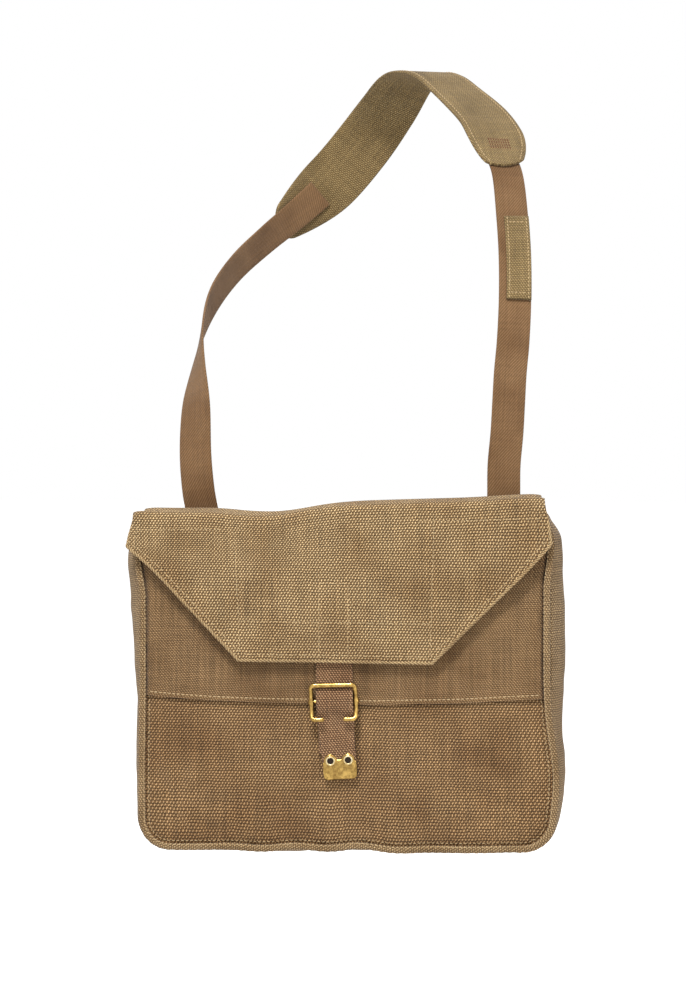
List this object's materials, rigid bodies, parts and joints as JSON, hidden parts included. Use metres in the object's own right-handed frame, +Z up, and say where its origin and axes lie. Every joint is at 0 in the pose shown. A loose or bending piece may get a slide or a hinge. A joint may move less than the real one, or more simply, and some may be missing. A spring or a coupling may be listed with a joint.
{
  "type": "messenger bag",
  "caption": "Flat webbing shoulder bag with a cut-corner flap, a buckled closure strap and a padded shoulder strap shown as worn.",
  "frame": {"origin": "underside of the shoulder pad at the top of the strap, where the strap rests on a shoulder", "axes": "+Z up, -Y out of the bag's front, +Y towards the wearer, +X to the right of someone who looks at the front"},
  "size_m": [0.363, 0.3753, 0.6872],
  "materials": {
    "body_webbing": "woven",
    "flap_webbing": "woven",
    "closure_webbing": "woven",
    "strap_webbing": "woven",
    "brass_fittings": "worn"
  },
  "bodies": {
    "strap": {"strap_front_run": "strap_webbing", "strap_back_run": "strap_webbing", "shoulder_pad": "strap_webbing", "strap_overlap": "strap_webbing", "end_tip_left": "brass_fittings", "end_tip_right": "brass_fittings"},
    "back_buckles": {"back_buckle_left": "brass_fittings", "back_buckle_right": "brass_fittings", "back_bar_left": "brass_fittings", "back_bar_right": "brass_fittings"},
    "bag": {"front_panel": "body_webbing", "front_band": "body_webbing", "back_panel": "body_webbing", "gusset": "body_webbing", "gusset_hem": "body_webbing", "front_seam": "body_webbing", "back_seam": "body_webbing", "mouth_facing": "body_webbing", "flap_anchor": "flap_webbing", "front_chape": "closure_webbing", "back_chape_left": "closure_webbing", "back_chape_right": "closure_webbing"},
    "flap_rear": {"flap_top": "flap_webbing"},
    "flap_face": {"flap_front": "flap_webbing", "flap_lining": "flap_webbing", "closure_strap": "closure_webbing", "closure_tip": "brass_fittings", "tip_eyelets": "brass_fittings"},
    "closure_buckle": {"front_buckle": "brass_fittings", "front_buckle_bar": "brass_fittings"}
  },
  "joints": [
    {"name": "strap_adjust", "type": "slide", "parent": "strap", "child": "back_buckles", "axis": [0, 0, 1], "range_m": [-0.04, 0]},
    {"name": "bag_swing", "type": "hinge", "parent": "back_buckles", "child": "bag", "pos_m": [-0.042, -0.23055, -0.4126], "axis": [-1, 0, 0], "range_deg": [0, 6]},
    {"name": "flap_lift", "type": "hinge", "parent": "bag", "child": "flap_rear", "pos_m": [-0.047, -0.234, -0.3838], "axis": [-1, 0, 0], "range_deg": [0, 90]},
    {"name": "flap_fold", "type": "hinge", "parent": "flap_rear", "child": "flap_face", "pos_m": [-0.047, -0.3028, -0.3838], "axis": [-1, 0, 0], "range_deg": [0, 90]},
    {"name": "buckle_rock", "type": "hinge", "parent": "bag", "child": "closure_buckle", "pos_m": [-0.051, -0.29985, -0.5536], "axis": [1, 0, 0], "range_deg": [-5, 5]}
  ]
}
